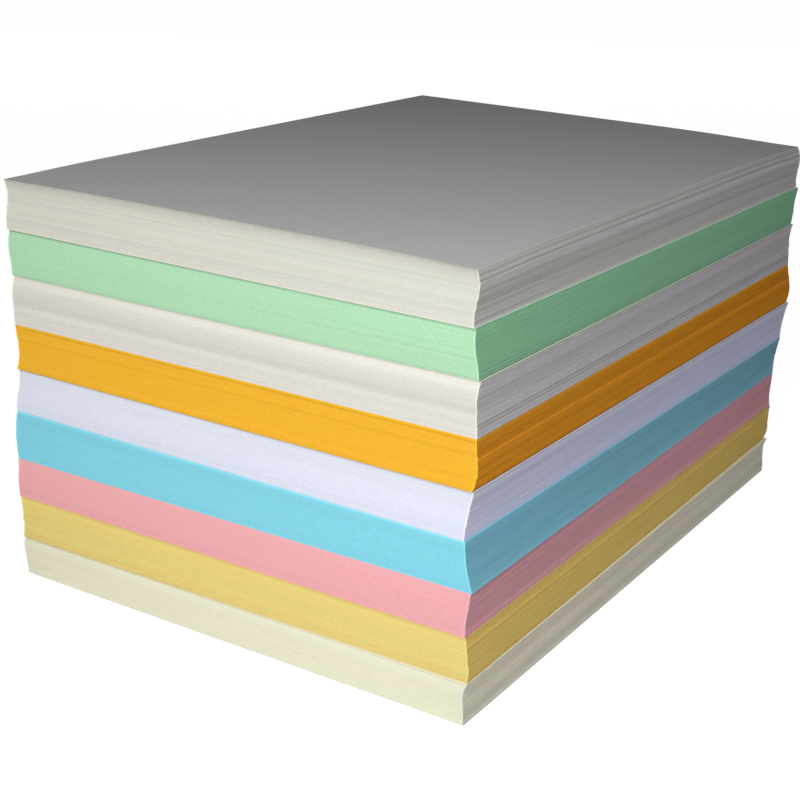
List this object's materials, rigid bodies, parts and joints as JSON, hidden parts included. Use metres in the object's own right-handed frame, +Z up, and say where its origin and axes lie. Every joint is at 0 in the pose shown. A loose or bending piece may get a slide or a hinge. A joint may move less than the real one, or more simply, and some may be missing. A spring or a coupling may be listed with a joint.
{
  "type": "pack of linen cover paper",
  "caption": "Square-cornered stack of loose A4 cover sheets in reams of different colours, lying unevenly on each other, for printing and binding.",
  "frame": {"origin": "middle of the footprint, on the ground under the lowest sheet", "axes": "+X along the short side of the sheets, +Y along their long side, +Z up through the pack"},
  "size_m": [0.2158, 0.303, 0.1633],
  "materials": {
    "cream_paper": "matte, linen-embossed",
    "yellow_paper": "matte, linen-embossed",
    "pink_paper": "matte, linen-embossed",
    "cyan_paper": "matte, linen-embossed",
    "lavender_paper": "matte, linen-embossed",
    "orange_paper": "matte, linen-embossed",
    "ivory_paper": "matte, linen-embossed",
    "green_paper": "matte, linen-embossed",
    "white_paper": "matte, linen-embossed"
  },
  "bodies": {
    "root": {"cream_ream": "cream_paper", "yellow_ream": "yellow_paper", "pink_ream": "pink_paper", "cyan_ream": "cyan_paper", "lavender_ream": "lavender_paper", "orange_ream": "orange_paper", "ivory_ream": "ivory_paper", "green_ream": "green_paper", "white_ream": "white_paper"}
  },
  "joints": []
}
